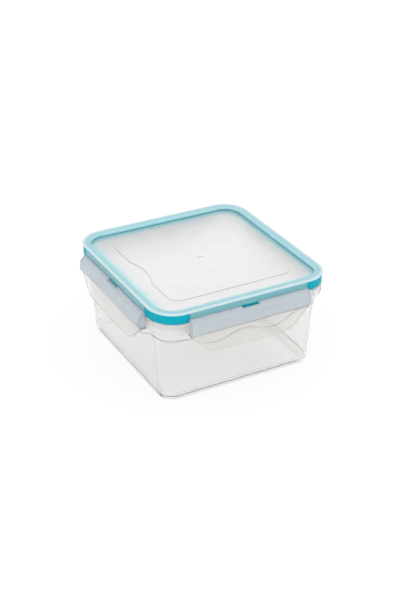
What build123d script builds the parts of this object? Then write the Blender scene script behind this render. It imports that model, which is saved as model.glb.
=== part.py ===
from build123d import *
import math
import os

# A square clip-lid food container: a drafted clear tub with a wavy shoulder, a frosted lid with a
# recessed panel, a U-section sealing gasket, and one latch on each side that hangs from the lid rim
# by two thin hinge lines. Millimetres, +Z up, origin at the centre of the foot, front towards -Y.
# Every plan outline is a rounded square about the same four corner centres, so it is given by its
# half width alone. Sections of the latch are drawn with x outward from the centre and y up.

# Tub walls and floor
base_half = 68.0
base_corner_radius = 12.6
wall_draft = 3.2
wall = 1.6
floor_top = 3.0
foot_ring_width = 4.0
foot_recess = 1.0
foot_round = 3.0
floor_bevel = 2.4

# Wavy shoulder, where the wall steps out to the collar
shoulder_step = 1.0
shoulder_corner_height = 54.5
shoulder_lobe_height = 45.3
shoulder_middle_height = 50.8
shoulder_lobe_place = 26.0
shoulder_bevel = 0.6
shoulder_inner_rise = 1.2

# Tub flange and sealing lip
flange_top = 73.7
flange_plate = 2.0
flange_depth = 9.2
flange_skirt = 1.4
flange_groove_depth = 0.5
flange_bead_top = 2.9
flange_groove_height = 3.0
flange_bevel_out = 0.8
flange_bevel_up = 1.4
lip_thickness = 1.4
lip_height = 5.8

# Gasket, a soft ring with a groove that takes the tub lip
seal_gap = 0.3
gasket_inner_leg = 0.9
gasket_outer_leg = 1.9
gasket_web = 2.3
gasket_bevel = 0.5

# Lid
rim_thickness = 0.9
rim_bevel = 0.6
recess_depth = 3.2
recess_wall = 1.2
recess_lean = 7.0
recess_bevel = 0.5
panel_thickness = 1.5
plug_depth = 5.5
plateau_half = 54.5
plateau_corner_radius = 10.0
plateau_rise = 0.6
plateau_bevel = 0.4
scallop_half_width = 19.0
scallop_depth = 4.3
scallop_end_round = 8.0
gate_dimple_radius = 2.6
gate_dimple_depth = 0.4

# Hinge strips
strip_gap = 0.25
strip_thickness = 0.8
strip_length = 4.05
strip_end_inset = 0.5
hinge_clearance = 0.05

# Latches
latch_half_width = 52.5
latch_shell = 1.6
latch_top_depth = 1.5
latch_slope_reach = 4.0
latch_slope_drop = 3.3
latch_lean = 1.1
latch_foot_rise = 1.8
latch_top_round = 0.8
latch_slope_round = 3.0
latch_foot_round = 0.4
inner_top_set_in = 0.4
inner_slope_set_down = 0.64
latch_cap = 1.5
latch_cap_gap = 0.5
latch_slot_half_width = 7.6
hook_gap = 0.3
hook_reach = 0.9
hook_thickness = 1.8
tab_set_back = 2.4
tab_length = 16.4
tab_thickness = 1.4
tab_flare = 0.5
tab_side_inset = 1.0
tab_corner_cut = 14.0
tab_bow = 1.5
tab_corner_radius = 9.0

# Half widths, from the tub wall outward
corner_centre = base_half - base_corner_radius
draft_slope = math.tan(math.radians(wall_draft))
recess_slope = math.tan(math.radians(recess_lean))
collar_half = base_half + shoulder_step + flange_top * draft_slope
lip_inner_half = collar_half
lip_outer_half = lip_inner_half + lip_thickness
groove_inner_half = lip_inner_half - seal_gap
groove_outer_half = lip_outer_half + seal_gap
gasket_inner_half = groove_inner_half - gasket_inner_leg
gasket_outer_half = groove_outer_half + gasket_outer_leg
recess_half = gasket_inner_half - recess_wall
flange_half = gasket_outer_half + strip_gap - hinge_clearance
hinge_half = gasket_outer_half + strip_gap + strip_thickness / 2
rim_half = hinge_half

# Heights, from the flange upward and downward
flange_bottom = flange_top - flange_depth
lip_top = flange_top + lip_height
gasket_bottom = flange_top + seal_gap
groove_top = lip_top + seal_gap
rim_bottom = groove_top + gasket_web
lid_top = rim_bottom + rim_thickness
panel_top = lid_top - recess_depth
panel_bottom = panel_top - panel_thickness
plug_bottom = rim_bottom - plug_depth
upper_hinge_height = rim_bottom - hinge_clearance - strip_thickness / 2
lower_hinge_height = upper_hinge_height - strip_length
latch_top = lower_hinge_height - strip_thickness / 2 - hinge_clearance
hook_top = flange_bottom - hook_gap
hook_bottom = hook_top - hook_thickness
tab_bottom = hook_bottom - tab_length

side_angles = {"front": 0, "right": 90, "back": 180, "left": 270}

# Local x is outward from the front, local y is up
front_section = Plane(origin=(0, 0, 0), x_dir=(0, -1, 0), z_dir=(-1, 0, 0))


def rounded_square(half, mode=Mode.ADD):
    """Draw the plan outline that lies at this half width."""
    RectangleRounded(2 * half, 2 * half, half - corner_centre, mode=mode)


def ring(outer_half, inner_half, bottom, top, mode=Mode.ADD):
    """Extrude the band between two plan outlines from one height to another."""
    with BuildSketch(Plane.XY.offset(bottom)) as band:
        rounded_square(outer_half)
        rounded_square(inner_half, mode=Mode.SUBTRACT)
    extrude(band.sketch, amount=top - bottom, mode=mode)


def drafted_block(foot_half, bottom, top, mode=Mode.ADD):
    """Extrude a plan outline that grows by the wall draft; foot_half is its half width at z 0."""
    with BuildSketch(Plane.XY.offset(bottom)) as foot:
        rounded_square(foot_half + bottom * draft_slope)
    extrude(foot.sketch, amount=top - bottom, taper=-wall_draft, mode=mode)


def side_plane(angle):
    """Upright plane through the centre that faces the side at this angle from the front."""
    turn = math.radians(angle)
    return Plane(
        origin=(0, 0, 0),
        x_dir=(math.cos(turn), math.sin(turn), 0),
        z_dir=(math.sin(turn), -math.cos(turn), 0),
    )


def cut_below_shoulder(rise):
    """Cut away all that lies under the wavy shoulder line, raised by this much, on four sides."""
    reach = 2 * base_half
    corner_height = shoulder_corner_height + rise
    hump = Vector(0, shoulder_middle_height + rise)
    for angle in side_angles.values():
        with BuildSketch(side_plane(angle).offset(corner_centre)) as under_wave:
            with BuildLine():
                hump_ends = []
                for side in (-1, 1):
                    corner = Vector(side * corner_centre, corner_height)
                    lobe = Vector(side * shoulder_lobe_place, shoulder_lobe_height + rise)
                    hump_ends.append((lobe + hump) / 2)
                    TangentArc(corner, (corner + lobe) / 2, tangent=(-side, 0))
                    TangentArc(lobe, (corner + lobe) / 2, tangent=(side, 0))
                    TangentArc(lobe, hump_ends[-1], tangent=(-side, 0))
                ThreePointArc(hump_ends[0], hump, hump_ends[1])
                Polyline(
                    (corner_centre, corner_height),
                    (reach, corner_height),
                    (reach, -flange_top),
                    (-reach, -flange_top),
                    (-reach, corner_height),
                    (-corner_centre, corner_height),
                )
            make_face()
        extrude(under_wave.sketch, amount=reach, mode=Mode.SUBTRACT)


def half_at(point):
    """Half width of the plan outline that a point lies on."""
    x, y = abs(point.X), abs(point.Y)
    if min(x, y) <= corner_centre:
        return max(x, y)
    return corner_centre + math.hypot(x - corner_centre, y - corner_centre)


def plan_edges(builder, half, height):
    """Edges of a part that lie on one plan outline at one height."""
    return builder.edges().filter_by(
        lambda edge: abs(edge.center().Z - height) < 0.001 and abs(half_at(edge @ 0.5) - half) < 0.001
    )


def corner_at(sketch, place):
    """The corner of a sketch that stands at this place on its own plane."""
    return sketch.vertices().sort_by_distance(Vector(*place))[0]


def shoulder_edges(builder, foot_half):
    """Edges where the wavy lower face of a collar block meets its drafted outer wall."""
    return builder.edges().filter_by(
        lambda edge: edge.bounding_box().max.Z < flange_top - 1
        and all(
            abs(half_at(edge @ share) - foot_half - (edge @ share).Z * draft_slope) < 0.01
            for share in (0, 0.5, 1)
        )
    )


def write(piece, name):
    """Label a finished piece and write it to its own file."""
    piece.label = name
    export_step(piece, f"parts/{name}.step")


os.makedirs("parts", exist_ok=True)

# Collar: the upper, wider part of the tub wall, solid, with its wavy lower edge
with BuildPart() as collar:
    drafted_block(base_half + shoulder_step, floor_top, flange_top)
    cut_below_shoulder(0)
    chamfer(shoulder_edges(collar, base_half + shoulder_step), length=shoulder_bevel)

# Inside of the tub, as two solids to take away
with BuildPart() as collar_cavity:
    drafted_block(base_half + shoulder_step - wall, floor_top, flange_top)
    cut_below_shoulder(shoulder_inner_rise)

with BuildPart() as lower_cavity:
    drafted_block(base_half - wall, floor_top, flange_top)
    chamfer(lower_cavity.edges().group_by(Axis.Z)[0], length=floor_bevel)

# Tub: base, collar, flange with its turned-down skirt, and the upright sealing lip
with BuildPart() as container_tub:
    drafted_block(base_half, 0, flange_top)
    fillet(container_tub.edges().group_by(Axis.Z)[0], radius=foot_round)
    with BuildSketch(Plane.XY) as foot_hollow:
        rounded_square(base_half - foot_round - foot_ring_width)
    extrude(foot_hollow.sketch, amount=foot_recess, mode=Mode.SUBTRACT)
    add(collar.part)
    ring(flange_half, lip_inner_half - wall, flange_top - flange_plate, flange_top)
    ring(flange_half, flange_half - flange_skirt, flange_bottom, flange_top)
    groove_top_height = flange_top - flange_bead_top
    ring(
        flange_half,
        flange_half - flange_groove_depth,
        groove_top_height - flange_groove_height,
        groove_top_height,
        mode=Mode.SUBTRACT,
    )
    skirt_edges = plan_edges(container_tub, flange_half, flange_bottom)
    chamfer(skirt_edges, length=flange_bevel_up, length2=flange_bevel_out)
    ring(lip_outer_half, lip_inner_half, flange_top - flange_plate, lip_top)
    add(lower_cavity.part, mode=Mode.SUBTRACT)
    add(collar_cavity.part, mode=Mode.SUBTRACT)
write(container_tub.part, "container_tub")

# Gasket: a soft ring under the lid rim, with a groove from below for the tub lip
with BuildPart() as sealing_gasket:
    ring(gasket_outer_half, gasket_inner_half, gasket_bottom, rim_bottom)
    ring(groove_outer_half, groove_inner_half, gasket_bottom, groove_top, mode=Mode.SUBTRACT)
    chamfer(plan_edges(sealing_gasket, gasket_outer_half, gasket_bottom), length=gasket_bevel)
write(sealing_gasket.part, "sealing_gasket")

# Lid: rim plate, recess wall that reaches down as the plug, and the recessed panel
with BuildPart() as lid:
    with BuildSketch(Plane.XY.offset(rim_bottom)) as rim_plate:
        rounded_square(rim_half)
    extrude(rim_plate.sketch, amount=rim_thickness)
    with BuildSketch(Plane.XY.offset(plug_bottom)) as plug:
        rounded_square(gasket_inner_half)
    extrude(plug.sketch, amount=plug_depth)
    with BuildSketch(Plane.XY.offset(plug_bottom)) as underside:
        rounded_square(gasket_inner_half - recess_wall - recess_depth * recess_slope)
    extrude(underside.sketch, amount=panel_bottom - plug_bottom, mode=Mode.SUBTRACT)
    with BuildSketch(Plane.XY.offset(lid_top)) as recess:
        rounded_square(recess_half)
    extrude(recess.sketch, amount=-recess_depth, taper=recess_lean, mode=Mode.SUBTRACT)
    chamfer(plan_edges(lid, rim_half, lid_top), length=rim_bevel)
    chamfer(plan_edges(lid, recess_half, lid_top), length=recess_bevel)
    with BuildSketch(Plane.XY.offset(panel_top)) as plateau:
        RectangleRounded(2 * plateau_half, 2 * plateau_half, plateau_corner_radius)
        scallop_radius = (scallop_half_width**2 + scallop_depth**2) / (2 * scallop_depth)
        scallop_centre = plateau_half - scallop_depth + scallop_radius
        with Locations((scallop_centre, 0), (-scallop_centre, 0)):
            Circle(scallop_radius, mode=Mode.SUBTRACT)
        scallop_ends = plateau.vertices().filter_by(
            lambda corner: abs(abs(corner.Y) - scallop_half_width) < 0.001
        )
        fillet(scallop_ends, radius=scallop_end_round)
    extrude(plateau.sketch, amount=plateau_rise)
    plateau_edges = lid.edges().filter_by(
        lambda edge: abs(edge.center().Z - panel_top - plateau_rise) < 0.001
    )
    chamfer(plateau_edges, length=plateau_bevel)
    with BuildSketch(Plane.XY.offset(panel_top + plateau_rise)) as gate_dimple:
        Circle(gate_dimple_radius)
    extrude(gate_dimple.sketch, amount=-gate_dimple_depth, mode=Mode.SUBTRACT)
write(lid.part, "lid")

# Hinge strip of the front side: a thin flat strap with a full round along both hinge lines
with BuildPart() as hinge_strip:
    with BuildSketch(front_section) as strip_section:
        with Locations((hinge_half, (upper_hinge_height + lower_hinge_height) / 2)):
            SlotCenterToCenter(strip_length, strip_thickness, rotation=90)
    extrude(strip_section.sketch, amount=latch_half_width - strip_end_inset, both=True)

# Latch of the front side. Outer line from the hinge: flat top, slope, leaning face, then in under
# the face to the tab; the hook turns in under the tub flange.
top_edge = (hinge_half + latch_top_depth, latch_top)
slope_foot = (top_edge[0] + latch_slope_reach, latch_top - latch_slope_drop)
band_foot = (slope_foot[0] + latch_lean, hook_top + latch_foot_rise)
tab_top_outer = (band_foot[0] - tab_set_back, hook_top)
tab_top_inner = (tab_top_outer[0] - tab_thickness, hook_bottom)
tab_foot_outer = (tab_top_outer[0] + tab_flare, tab_bottom)
tab_foot_inner = (tab_foot_outer[0] - tab_thickness, tab_bottom)
hook_tip = flange_half - hook_reach
ceiling = latch_top - latch_shell
inner_top = (top_edge[0] - inner_top_set_in, ceiling)
inner_slope_foot = (slope_foot[0] - latch_shell, slope_foot[1] - inner_slope_set_down)
inner_band_foot = (band_foot[0] - latch_shell, band_foot[1])
outer_line = ((hinge_half, latch_top), top_edge, slope_foot, band_foot, tab_top_outer)

with BuildPart() as latch:
    with BuildSketch(front_section) as latch_section:
        with BuildLine():
            Polyline(
                *outer_line,
                tab_foot_outer,
                tab_foot_inner,
                tab_top_inner,
                (hook_tip, hook_bottom),
                (hook_tip, hook_top),
                (tab_top_inner[0], hook_top),
                inner_band_foot,
                inner_slope_foot,
                inner_top,
                (hinge_half, ceiling),
                close=True,
            )
        make_face()
        fillet(corner_at(latch_section, top_edge), radius=latch_top_round)
        fillet(corner_at(latch_section, slope_foot), radius=latch_slope_round)
        fillet(corner_at(latch_section, inner_slope_foot), radius=latch_slope_round - latch_shell)
        fillet(corner_at(latch_section, band_foot), radius=latch_foot_round)
    extrude(latch_section.sketch, amount=latch_half_width, both=True)

    # Closed ends of the hood, clear of the flange
    for end in (-1, 1):
        with BuildSketch(front_section.offset(-end * latch_half_width)) as end_cap:
            with BuildLine():
                Polyline(*outer_line, (tab_top_outer[0], hook_bottom), close=False)
                Polyline(
                    (tab_top_outer[0], hook_bottom),
                    (flange_half + latch_cap_gap, hook_bottom),
                    (flange_half + latch_cap_gap, latch_top),
                    (hinge_half, latch_top),
                )
            make_face()
            fillet(corner_at(end_cap, top_edge), radius=latch_top_round)
            fillet(corner_at(end_cap, slope_foot), radius=latch_slope_round)
            fillet(corner_at(end_cap, band_foot), radius=latch_foot_round)
        extrude(end_cap.sketch, amount=end * latch_cap)

    # Slot in the middle of the hinge side
    with Locations((0, -hinge_half - latch_slope_reach / 2, latch_top)):
        Box(2 * latch_slot_half_width, 2 * latch_slope_reach, 2 * latch_shell, mode=Mode.SUBTRACT)

    # Lower outline of the tab: slightly bowed, with its corners cut away and rounded
    tab_half_width = latch_half_width - tab_side_inset
    foot_half_width = tab_half_width - tab_corner_cut
    with BuildSketch(Plane.XZ.offset(hinge_half - latch_cap)) as tab_trim:
        with BuildLine():
            Polyline(
                (-foot_half_width, tab_bottom + tab_bow),
                (-tab_half_width, hook_bottom),
                (-2 * latch_half_width, hook_bottom),
                (-2 * latch_half_width, 0),
                (2 * latch_half_width, 0),
                (2 * latch_half_width, hook_bottom),
                (tab_half_width, hook_bottom),
                (foot_half_width, tab_bottom + tab_bow),
            )
            ThreePointArc(
                (foot_half_width, tab_bottom + tab_bow),
                (0, tab_bottom),
                (-foot_half_width, tab_bottom + tab_bow),
            )
        make_face()
        for end in (-1, 1):
            foot_corner = (end * foot_half_width, tab_bottom + tab_bow)
            fillet(corner_at(tab_trim, foot_corner), radius=tab_corner_radius)
    extrude(tab_trim.sketch, amount=4 * latch_slope_reach, mode=Mode.SUBTRACT)

for side, angle in side_angles.items():
    write(hinge_strip.part.rotate(Axis.Z, angle), f"hinge_strip_{side}")
    write(latch.part.rotate(Axis.Z, angle), f"latch_{side}")
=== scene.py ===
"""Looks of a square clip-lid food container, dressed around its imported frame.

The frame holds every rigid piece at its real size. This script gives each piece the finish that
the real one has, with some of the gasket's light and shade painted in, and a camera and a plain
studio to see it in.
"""

from __future__ import annotations

import logging
import math
from dataclasses import dataclass
from enum import Enum
from typing import Any

import bmesh
import bpy
from mathutils import Matrix, Vector

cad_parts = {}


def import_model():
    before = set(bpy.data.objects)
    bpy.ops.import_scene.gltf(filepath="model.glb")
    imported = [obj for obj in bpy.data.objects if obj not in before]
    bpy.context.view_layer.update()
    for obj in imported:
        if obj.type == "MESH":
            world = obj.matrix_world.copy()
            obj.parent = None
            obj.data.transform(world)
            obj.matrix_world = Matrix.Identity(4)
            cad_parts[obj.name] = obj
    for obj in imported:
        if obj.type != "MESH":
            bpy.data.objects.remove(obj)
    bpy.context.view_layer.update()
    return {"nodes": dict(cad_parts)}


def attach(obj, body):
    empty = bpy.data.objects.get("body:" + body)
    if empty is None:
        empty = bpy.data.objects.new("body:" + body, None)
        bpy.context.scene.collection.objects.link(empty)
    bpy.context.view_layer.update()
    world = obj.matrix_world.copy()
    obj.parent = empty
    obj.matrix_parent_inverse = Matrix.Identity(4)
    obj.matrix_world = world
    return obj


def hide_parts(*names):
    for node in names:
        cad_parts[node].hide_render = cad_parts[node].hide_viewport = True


LOG = logging.getLogger("container")
Colour = tuple[float, float, float, float]
MM = 0.001
PHOTO_WIDTH = 401
PHOTO_HEIGHT = 601
POLYPROPYLENE_IOR = 1.49
SILICONE_IOR = 1.41
# Where the centres of the plan's round corners are, along both sides
CORNER_CENTRE_MM = 55.4
# A height far above the object, so that a point's height never counts in its half width
OUT_OF_REACH_M = 1.0
HAZE_MM = 14.0
HAZE_SPREAD = 0.06
RIPPLE_HEIGHT_MM = 0.1
MERGE_MM = 0.001
CLIP_NEAR_M = 0.05
CLIP_FAR_M = 20.0
PAPER_COLOUR: Colour = (0.95, 0.95, 0.95, 1.0)
WHITE: Colour = (1.0, 1.0, 1.0, 1.0)
LAMP_AIM_M = (0.0, 0.0, 0.04)
# A Mix node has a number, a vector and a colour under each name, so its sockets go by number
NUMBER_A = 2
NUMBER_B = 3
MIXED_NUMBER = 0
COLOUR_A = 6
COLOUR_B = 7
MIXED_COLOUR = 2


class Side(Enum):
    """The four sides of the container, with the turn about +Z from the front in degrees."""

    FRONT = 0
    RIGHT = 90
    BACK = 180
    LEFT = 270

    @property
    def label(self) -> str:
        """The side's name as the frame writes it."""
        return self.name.lower()


class Slot(Enum):
    """Material slots of the record."""

    TUB = "tub_clear"
    LID = "lid_frosted"
    GASKET = "gasket_teal"


def linear(hex_colour: str) -> Colour:
    """Turn an sRGB hex colour into the linear colour that a shader socket takes.

    Args:
        hex_colour: Six hex digits, with or without a leading hash.

    Returns:
        Red, green, blue and an alpha of one.
    """
    digits = hex_colour.lstrip("#")
    channels = []
    for start in (0, 2, 4):
        value = int(digits[start : start + 2], 16) / 255
        channels.append(value / 12.92 if value <= 0.04045 else ((value + 0.055) / 1.055) ** 2.4)
    return (channels[0], channels[1], channels[2], 1.0)


def add_node(
    tree: bpy.types.NodeTree,
    kind: str,
    inputs: dict[str | int, Any] | None = None,
    **settings: Any,
) -> bpy.types.Node:
    """Add a shader node with its settings, and fill or link its inputs.

    Args:
        tree: Node tree that takes the node.
        kind: Blender's type name of the node.
        inputs: Input name or number to a plain value or to an output socket.
        settings: Properties of the node itself.

    Returns:
        The new node.
    """
    made = tree.nodes.new(kind)
    for name, value in settings.items():
        setattr(made, name, value)
    for key, value in (inputs or {}).items():
        if isinstance(value, bpy.types.NodeSocket):
            tree.links.new(value, made.inputs[key])
        else:
            made.inputs[key].default_value = value
    return made


def blank_material(name: str) -> tuple[bpy.types.Material, bpy.types.NodeTree]:
    """Make a material with an empty node tree.

    Args:
        name: Name of the material.

    Returns:
        The material and its tree.
    """
    material = bpy.data.materials.new(name)
    material.use_nodes = True
    material.node_tree.nodes.clear()
    return material, material.node_tree


@dataclass(frozen=True)
class Zone:
    """A stretch of a moulding whose plastic looks different, such as near the gasket, where some
    stretches hold painted light or shade.

    Attributes:
        tint: sRGB hex colour of the plastic there.
        milk: Share of the light that it scatters there.
        start_mm: Where the stretch sets in, on the measure that it uses.
        end_mm: Where it is full.
        upright: Whether the measure is the height, or else the half width of the plan outline.
    """

    tint: str
    milk: float
    start_mm: float
    end_mm: float
    upright: bool = False


@dataclass(frozen=True)
class Polypropylene:
    """Injection-moulded natural polypropylene: clear but faintly milky, and softly rippled.

    Attributes:
        name: Name of the material.
        tint: sRGB hex colour of the plastic, with any painted light in it, such as the straps'
            cyan.
        milk: Share of the light that the plastic scatters at a surface.
        roughness: Roughness of the moulded surface.
        ripple_mm: Size of the soft sink ripples.
        ripple_depth: Strength of the ripples.
        zones: Stretches with another colour, each laid over the ones before it.
    """

    name: str
    tint: str
    milk: float
    roughness: float
    ripple_mm: float = 18.0
    ripple_depth: float = 0.05
    zones: tuple[Zone, ...] = ()

    def material(self) -> bpy.types.Material:
        """Build the finish.

        Returns:
            A material whose surface ripples slightly, as a cooled moulding's does.
        """
        material, tree = blank_material(self.name)
        place = add_node(tree, "ShaderNodeTexCoord").outputs["Object"]
        ripple = add_node(
            tree,
            "ShaderNodeTexNoise",
            {"Vector": place, "Scale": 1 / (self.ripple_mm * MM), "Detail": 2.0},
        )
        bump = add_node(
            tree,
            "ShaderNodeBump",
            {
                "Height": ripple.outputs["Fac"],
                "Strength": self.ripple_depth,
                "Distance": RIPPLE_HEIGHT_MM * MM,
            },
        )
        haze = add_node(
            tree,
            "ShaderNodeTexNoise",
            {"Vector": place, "Scale": 1 / (HAZE_MM * MM), "Detail": 3.0},
        )
        spread = add_node(
            tree,
            "ShaderNodeMapRange",
            {"Value": haze.outputs["Fac"], "To Min": 1 + HAZE_SPREAD, "To Max": 1 - HAZE_SPREAD},
        )
        colour, milk = self._zoned(tree, place)
        cloud = add_node(
            tree, "ShaderNodeMath", {0: spread.outputs["Result"], 1: milk}, operation="MULTIPLY"
        )
        clear = add_node(
            tree, "ShaderNodeMath", {0: 1.0, 1: cloud.outputs[0]}, operation="SUBTRACT"
        )
        surface = add_node(
            tree,
            "ShaderNodeBsdfPrincipled",
            {
                "Base Color": colour,
                "Roughness": self.roughness,
                "IOR": POLYPROPYLENE_IOR,
                "Transmission Weight": clear.outputs[0],
                "Normal": bump.outputs["Normal"],
            },
        )
        add_node(tree, "ShaderNodeOutputMaterial", {"Surface": surface.outputs["BSDF"]})
        return material

    def _zoned(
        self, tree: bpy.types.NodeTree, place: bpy.types.NodeSocket
    ) -> tuple[Colour | bpy.types.NodeSocket, float | bpy.types.NodeSocket]:
        """Lay the zones' colours and milkiness over the plastic's own.

        Args:
            tree: Node tree of the material.
            place: Object coordinates.

        Returns:
            The colour and the milk, as sockets, or as plain values where there are no zones.
        """
        colour = linear(self.tint)
        milk = self.milk
        for zone in self.zones:
            if zone.upright:
                measure = add_node(tree, "ShaderNodeSeparateXYZ", {"Vector": place}).outputs["Z"]
            else:
                measure = plan_half_width(tree, place)
            share = add_node(
                tree,
                "ShaderNodeMapRange",
                {
                    "Value": measure,
                    "From Min": zone.start_mm * MM,
                    "From Max": zone.end_mm * MM,
                },
                interpolation_type="SMOOTHSTEP",
            ).outputs["Result"]
            colour = add_node(
                tree,
                "ShaderNodeMix",
                {"Factor": share, COLOUR_A: colour, COLOUR_B: linear(zone.tint)},
                data_type="RGBA",
            ).outputs[MIXED_COLOUR]
            milk = add_node(
                tree,
                "ShaderNodeMix",
                {"Factor": share, NUMBER_A: milk, NUMBER_B: zone.milk},
                data_type="FLOAT",
            ).outputs[MIXED_NUMBER]
        return colour, milk


def plan_half_width(
    tree: bpy.types.NodeTree, place: bpy.types.NodeSocket
) -> bpy.types.NodeSocket:
    """Half width of the rounded square, about the container's corner centres, that a point is on.

    Args:
        tree: Node tree of the material.
        place: Object coordinates.

    Returns:
        The half width in metres, which never falls under the corner centres'.
    """
    spread = add_node(tree, "ShaderNodeVectorMath", {0: place}, operation="ABSOLUTE")
    centre = (CORNER_CENTRE_MM * MM, CORNER_CENTRE_MM * MM, OUT_OF_REACH_M)
    beyond = add_node(
        tree, "ShaderNodeVectorMath", {0: spread.outputs[0], 1: centre}, operation="SUBTRACT"
    )
    outside = add_node(
        tree,
        "ShaderNodeVectorMath",
        {0: beyond.outputs[0], 1: (0.0, 0.0, 0.0)},
        operation="MAXIMUM",
    )
    reach = add_node(tree, "ShaderNodeVectorMath", {0: outside.outputs[0]}, operation="LENGTH")
    total = add_node(
        tree,
        "ShaderNodeMath",
        {0: reach.outputs["Value"], 1: CORNER_CENTRE_MM * MM},
        operation="ADD",
    )
    return total.outputs[0]


@dataclass(frozen=True)
class SiliconeRubber:
    """Moulded silicone rubber: saturated and satin, with a weak painted glow in its own colour,
    though it is no lamp.

    Attributes:
        name: Name of the material.
        colour: sRGB hex colour of the rubber.
        worn: sRGB hex colour where it has a faint bloom.
        roughness: Roughness of the moulded surface.
        shine: Strength of its mirror gloss.
        painted_glow: Strength of the painted glow in the rubber's own colour, which stands for
            light the lamps don't give it.
    """

    name: str
    colour: str
    worn: str
    roughness: float
    shine: float = 0.12
    painted_glow: float = 0.3

    def material(self) -> bpy.types.Material:
        """Build the finish.

        Returns:
            A satin rubber material.
        """
        material, tree = blank_material(self.name)
        place = add_node(tree, "ShaderNodeTexCoord").outputs["Object"]
        bloom = add_node(
            tree,
            "ShaderNodeTexNoise",
            {"Vector": place, "Scale": 1 / (HAZE_MM * MM), "Detail": 4.0},
        )
        colour = add_node(
            tree,
            "ShaderNodeMix",
            {
                "Factor": bloom.outputs["Fac"],
                COLOUR_A: linear(self.colour),
                COLOUR_B: linear(self.worn),
            },
            data_type="RGBA",
        )
        surface = add_node(
            tree,
            "ShaderNodeBsdfPrincipled",
            {
                "Base Color": colour.outputs[MIXED_COLOUR],
                "Roughness": self.roughness,
                "IOR": SILICONE_IOR,
                "Specular IOR Level": self.shine,
                # Painted glow: the rubber shines weakly in its own colour, though it is no lamp
                "Emission Color": linear(self.colour),
                "Emission Strength": self.painted_glow,
            },
        )
        add_node(tree, "ShaderNodeOutputMaterial", {"Surface": surface.outputs["BSDF"]})
        return material


# From a polished mould: the walls show what lies behind them and keep sharp gleams
TUB_PLASTIC = Polypropylene(
    name="tub_polypropylene",
    tint="#FFFEFD",
    milk=0.07,
    roughness=0.12,
    ripple_depth=0.02,
    zones=(
        # The collar and the flange, where several walls lie close together
        Zone(tint="#FCFCFC", milk=0.24, start_mm=58.0, end_mm=64.0, upright=True),
        # The foot ring, whose zone sets in downward: painted grey shade along the line where the
        # tub stands on the floor
        Zone(tint="#E6E4E1", milk=0.15, start_mm=0.9, end_mm=0.3, upright=True),
    ),
)
# From a finely etched mould: frosted, with soft gleams, and with painted cyan light and shade
# from the gasket in zones over the rim and the panel's border
LID_PLASTIC = Polypropylene(
    name="lid_polypropylene",
    tint="#FEFEFE",
    milk=0.3,
    roughness=0.2,
    zones=(
        # The panel's border: painted cyan light, standing for the gasket's light spread into the
        # plastic
        Zone(tint="#C8F3F9", milk=0.4, start_mm=62.0, end_mm=70.0),
        # The foot of the recess wall: a painted dark teal line of shade, with the gasket's colour
        # in it
        Zone(tint="#8AD6DC", milk=0.3, start_mm=70.3, end_mm=70.33),
        # The rest of the recess wall and its bevel: painted light, paler cyan and milkier than
        # the line at its foot
        Zone(tint="#CCF8FC", milk=0.66, start_mm=70.4, end_mm=70.48),
        # The rim over the gasket: the gasket shows through it, and painted cyan stands for the
        # gasket's light spread in the rim
        Zone(tint="#C4F5FA", milk=0.5, start_mm=71.0, end_mm=71.6),
        # The rim's outer edge
        Zone(tint="#E8F8FC", milk=0.6, start_mm=74.2, end_mm=75.8),
    ),
)
# Moulded thin: glassy, with painted cyan that stands for the gasket's light seen through it
STRAP_PLASTIC = Polypropylene(
    name="strap_polypropylene",
    tint="#C8FBFF",
    milk=0.2,
    roughness=0.12,
)
# Moulded thin: a glassy tab below a hood that looks frosted, with painted bluish-grey shade on
# the hood
LATCH_PLASTIC = Polypropylene(
    name="latch_polypropylene",
    tint="#F6F5F3",
    milk=0.1,
    roughness=0.12,
    zones=(
        # The hood above the finger tab: milkier, as the thick hood is, with painted bluish-grey
        # shade of the hollow behind it and the gasket's teal light
        Zone(tint="#E5EDF2", milk=0.34, start_mm=62.6, end_mm=64.6, upright=True),
    ),
)
# Pigmented through and moulded satin: an even, strong teal with hardly a gleam, and a weak
# painted glow
GASKET_RUBBER = SiliconeRubber(
    name="teal_silicone",
    colour="#008C9D",
    worn="#0094A5",
    roughness=0.5,
)


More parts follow.
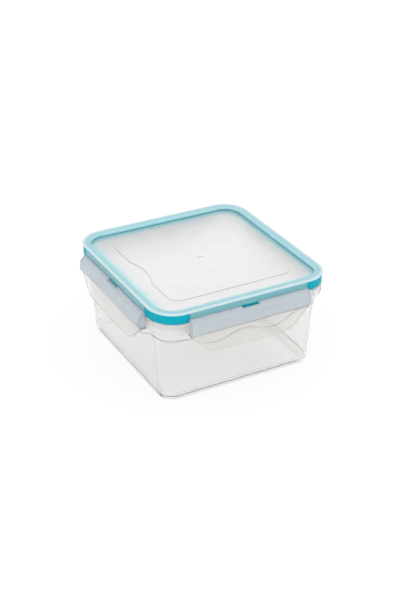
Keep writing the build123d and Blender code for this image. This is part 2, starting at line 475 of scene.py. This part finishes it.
@dataclass(frozen=True)
class PhotoCamera:
    """The photograph's camera, found by fitting the rim and foot outlines.

    Attributes:
        azimuth: Turn about +Z from the front, in degrees.
        elevation: Angle above the horizon, in degrees.
        roll: Turn about the line of view, in degrees.
        focal_px: Focal length, in pixels of the photograph.
        aim_px: Where the point that it aims at shows, in pixels from the picture's top left.
        distance: How far away that point is, in millimetres.
        aim_height: Height of that point on the container's axis, in millimetres.
        sensor: Width of the sensor, in millimetres.
    """

    azimuth: float = -29.72
    elevation: float = 29.82
    roll: float = 1.13
    focal_px: float = 1210.7
    aim_px: tuple[float, float] = (199.617, 305.951)
    distance: float = 1004.4
    aim_height: float = 35.0
    sensor: float = 36.0

    def build(self) -> bpy.types.Object:
        """Make the camera and give it to the scene.

        Returns:
            The camera object.
        """
        azimuth, elevation = math.radians(self.azimuth), math.radians(self.elevation)
        back = Vector(
            (
                math.sin(azimuth) * math.cos(elevation),
                -math.cos(azimuth) * math.cos(elevation),
                math.sin(elevation),
            )
        )
        level_right = (-back).cross(Vector((0, 0, 1))).normalized()
        level_up = level_right.cross(-back)
        roll = math.radians(self.roll)
        right = math.cos(roll) * level_right + math.sin(roll) * level_up
        up = math.cos(roll) * level_up - math.sin(roll) * level_right
        aside = (self.aim_px[0] - PHOTO_WIDTH / 2) / self.focal_px * self.distance
        above = (PHOTO_HEIGHT / 2 - self.aim_px[1]) / self.focal_px * self.distance
        aim = Vector((0, 0, self.aim_height))
        place = (aim - right * aside - up * above + back * self.distance) * MM
        data = bpy.data.cameras.new("photo_camera")
        data.sensor_fit = "AUTO"
        data.sensor_width = self.sensor
        data.lens = self.focal_px * self.sensor / PHOTO_HEIGHT
        data.clip_start = CLIP_NEAR_M
        data.clip_end = CLIP_FAR_M
        camera = bpy.data.objects.new("photo_camera", data)
        bpy.context.scene.collection.objects.link(camera)
        turn = Matrix((right, up, back)).transposed()
        camera.matrix_world = Matrix.Translation(place) @ turn.to_4x4()
        bpy.context.scene.camera = camera
        return camera


@dataclass(frozen=True)
class Studio:
    """Plain pale studio: a white floor, soft lamps and a white surround.

    Attributes:
        floor_reach: Half the floor's side, in metres.
        surround: Strength of the light from all round.
        shadow_share: How much of the floor that is seen takes shadows, and the rest glows white.
    """

    floor_reach: float = 6.0
    surround: float = 1.04
    shadow_share: float = 0.15

    def build(self) -> None:
        """Make the floor, the surround and the lamps."""
        scene = bpy.context.scene
        scene.view_settings.view_transform = "Standard"
        self._build_floor()
        self._build_surround()
        self._add_lamp("key_lamp", place=Vector((-0.9, -1.1, 1.6)), size=1.2, power=9.0)
        self._add_lamp("fill_lamp", place=Vector((1.4, -0.7, 1.0)), size=1.0, power=3.0)

    def _build_floor(self) -> None:
        """Lay the floor that the foot stands on."""
        mesh = bmesh.new()
        bmesh.ops.create_grid(mesh, x_segments=2, y_segments=2, size=self.floor_reach)
        data = bpy.data.meshes.new("studio_floor")
        mesh.to_mesh(data)
        mesh.free()
        floor = bpy.data.objects.new("studio_floor", data)
        bpy.context.scene.collection.objects.link(floor)
        material, tree = blank_material("white_paper")
        path = add_node(tree, "ShaderNodeLightPath")
        seen = path.outputs["Is Camera Ray"]
        for ray in ("Is Glossy Ray", "Is Transmission Ray"):
            either = {0: seen, 1: path.outputs[ray]}
            seen = add_node(tree, "ShaderNodeMath", either, operation="MAXIMUM").outputs[0]
        share = add_node(
            tree, "ShaderNodeMath", {0: seen, 1: 1 - self.shadow_share}, operation="MULTIPLY"
        )
        paper = add_node(tree, "ShaderNodeBsdfDiffuse", {"Color": PAPER_COLOUR})
        glow = add_node(tree, "ShaderNodeEmission", {"Color": WHITE, "Strength": 1.0})
        mix = add_node(
            tree,
            "ShaderNodeMixShader",
            {0: share.outputs[0], 1: paper.outputs[0], 2: glow.outputs[0]},
        )
        add_node(tree, "ShaderNodeOutputMaterial", {"Surface": mix.outputs[0]})
        data.materials.append(material)

    def _build_surround(self) -> None:
        """Light the scene evenly from all round, and show white behind the object."""
        world = bpy.data.worlds.new("white_surround")
        world.use_nodes = True
        tree = world.node_tree
        tree.nodes.clear()
        path = add_node(tree, "ShaderNodeLightPath")
        strength = add_node(
            tree,
            "ShaderNodeMapRange",
            {"Value": path.outputs["Is Camera Ray"], "To Min": self.surround, "To Max": 1.0},
        )
        sky = add_node(
            tree,
            "ShaderNodeBackground",
            {"Color": WHITE, "Strength": strength.outputs["Result"]},
        )
        add_node(tree, "ShaderNodeOutputWorld", {"Surface": sky.outputs[0]})
        bpy.context.scene.world = world

    def _add_lamp(self, name: str, place: Vector, size: float, power: float) -> None:
        """Hang one soft square lamp that faces the object.

        Args:
            name: Name of the lamp.
            place: Where it hangs, in metres.
            size: Length of its side, in metres.
            power: Its power in watts.
        """
        data = bpy.data.lights.new(name, "AREA")
        data.shape = "SQUARE"
        data.size = size
        data.energy = power
        lamp = bpy.data.objects.new(name, data)
        bpy.context.scene.collection.objects.link(lamp)
        turn = (Vector(LAMP_AIM_M) - place).to_track_quat("-Z", "Y").to_matrix()
        lamp.matrix_world = Matrix.Translation(place) @ turn.to_4x4()


def dress(node: bpy.types.Object, material: bpy.types.Material) -> None:
    """Give a frame node its finish.

    Args:
        node: The node's object.
        material: Its new finish.
    """
    node.data.materials.clear()
    node.data.materials.append(material)
    LOG.info("%s dressed in %s", node.name, material.name)


def merged_copy(node: bpy.types.Object, name: str) -> bpy.types.Object:
    """Copy a frame node's mesh with its loose triangles joined.

    Args:
        node: The node's object.
        name: Name of the copy.

    Returns:
        The copy, in the scene.
    """
    mesh = bmesh.new()
    mesh.from_mesh(node.data)
    bmesh.ops.remove_doubles(mesh, verts=mesh.verts, dist=MERGE_MM * MM)
    bmesh.ops.recalc_face_normals(mesh, faces=mesh.faces)
    data = bpy.data.meshes.new(name)
    mesh.to_mesh(data)
    mesh.free()
    copy = bpy.data.objects.new(name, data)
    bpy.context.scene.collection.objects.link(copy)
    return copy


def seated_copy(
    node: bpy.types.Object, name: str, growth_mm: float, material: bpy.types.Material
) -> bpy.types.Object:
    """Stand in for a frame node with a copy that is a hair larger all over.

    Args:
        node: The node's object.
        name: Name of the copy.
        growth_mm: How far every face moves outward.
        material: Finish of the copy.

    Returns:
        The copy, which replaces the node.
    """
    copy = merged_copy(node, name)
    hair = copy.modifiers.new("hair_seat", "DISPLACE")
    hair.strength = growth_mm * MM
    hair.mid_level = 0.0
    copy.data.materials.append(material)
    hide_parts(node.name)
    LOG.info("%s stands for %s", name, node.name)
    return copy


@dataclass(frozen=True)
class Tub:
    """The food tub, one clear moulding.

    Attributes:
        plastic: Finish of the tub.
    """

    plastic: Polypropylene = TUB_PLASTIC

    def build(self, nodes: dict[str, bpy.types.Object]) -> None:
        """Dress the frame's tub.

        Args:
            nodes: The frame's objects by name.
        """
        dress(nodes["container_tub"], self.plastic.material())


@dataclass(frozen=True)
class SealedLid:
    """The lid, and the silicone ring that hugs the underside of its rim.

    Attributes:
        plastic: Finish of the lid.
        rubber: Finish of the ring.
        seat_mm: How far the ring's faces go into the rim, which it touches in reality.
    """

    plastic: Polypropylene = LID_PLASTIC
    rubber: SiliconeRubber = GASKET_RUBBER
    seat_mm: float = 0.06

    def build(self, nodes: dict[str, bpy.types.Object]) -> None:
        """Dress the frame's lid and seat the ring in it.

        Args:
            nodes: The frame's objects by name.
        """
        dress(nodes["lid"], self.plastic.material())
        rubber = self.rubber.material()
        ring = seated_copy(nodes["sealing_gasket"], "gasket_ring", self.seat_mm, rubber)
        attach(ring, "lid")


@dataclass(frozen=True)
class Latches:
    """The four latches, each a hood with a finger tab that hangs from the rim by a thin strap.

    Attributes:
        strap_plastic: Finish of the straps.
        latch_plastic: Finish of the hoods and their tabs.
        seat_mm: How much larger a strap is all round, which closes the hair of room at its
            hinge lines, where the real ones are one moulding.
    """

    strap_plastic: Polypropylene = STRAP_PLASTIC
    latch_plastic: Polypropylene = LATCH_PLASTIC
    seat_mm: float = 0.06

    def build(self, nodes: dict[str, bpy.types.Object]) -> None:
        """Seat the four straps and dress the four latches below them.

        Args:
            nodes: The frame's objects by name.
        """
        strap = self.strap_plastic.material()
        latch = self.latch_plastic.material()
        for side in Side:
            name = f"hinge_strip_{side.label}"
            band = seated_copy(nodes[name], f"strap_{side.label}", self.seat_mm, strap)
            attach(band, f"strip_{side.label}")
            dress(nodes[f"latch_{side.label}"], latch)


def main() -> None:
    """Load the frame, build the studio and dress every piece."""
    logging.basicConfig(level=logging.INFO, format="%(message)s")
    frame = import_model()
    PhotoCamera().build()
    Studio().build()
    nodes = frame["nodes"]
    Tub().build(nodes)
    SealedLid().build(nodes)
    Latches().build(nodes)


if __name__ == "__main__":
    main()
